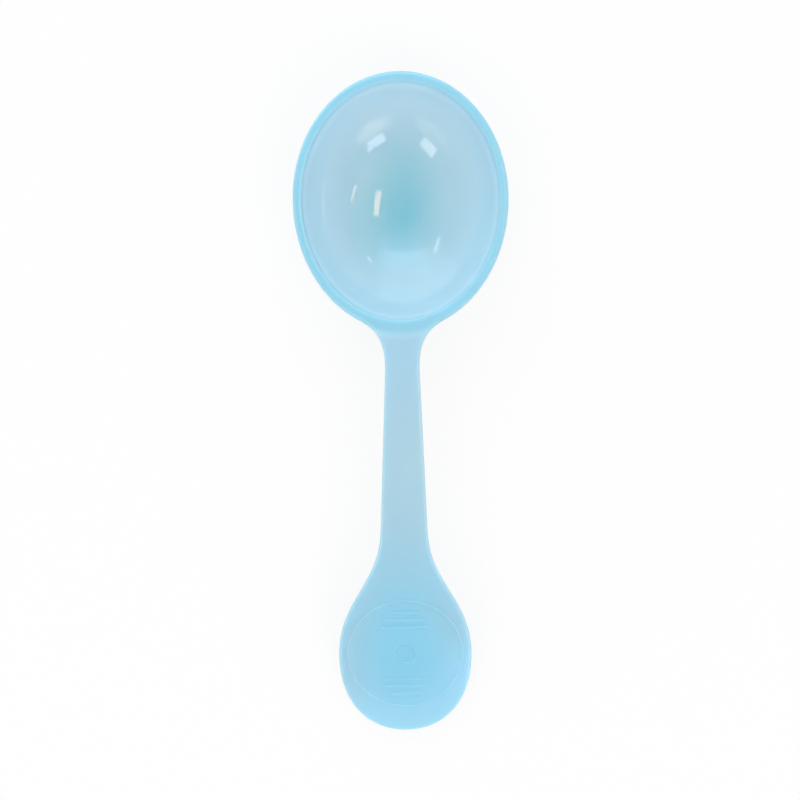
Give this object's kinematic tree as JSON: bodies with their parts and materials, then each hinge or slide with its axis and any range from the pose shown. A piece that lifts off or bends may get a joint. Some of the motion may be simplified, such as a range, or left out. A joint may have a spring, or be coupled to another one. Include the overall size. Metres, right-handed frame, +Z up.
{
  "type": "teaspoon",
  "caption": "Light blue moulded plastic teaspoon with an oval bowl, a flat rim, a slim arched stem and a wide thumb paddle with a shallow round recess.",
  "frame": {"origin": "on the table under the middle of the spoon's length and width, as the spoon lies with its bowl up", "axes": "+Z up out of the bowl, +Y along the spoon from the thumb paddle to the bowl, X across"},
  "size_m": [0.0324, 0.1, 0.0115],
  "materials": {
    "blue_plastic": "smooth and glossy, slightly milky and translucent"
  },
  "bodies": {
    "root": {"bowl_cup": "blue_plastic", "bowl_rim": "blue_plastic", "stem": "blue_plastic", "thumb_paddle": "blue_plastic"}
  },
  "joints": []
}
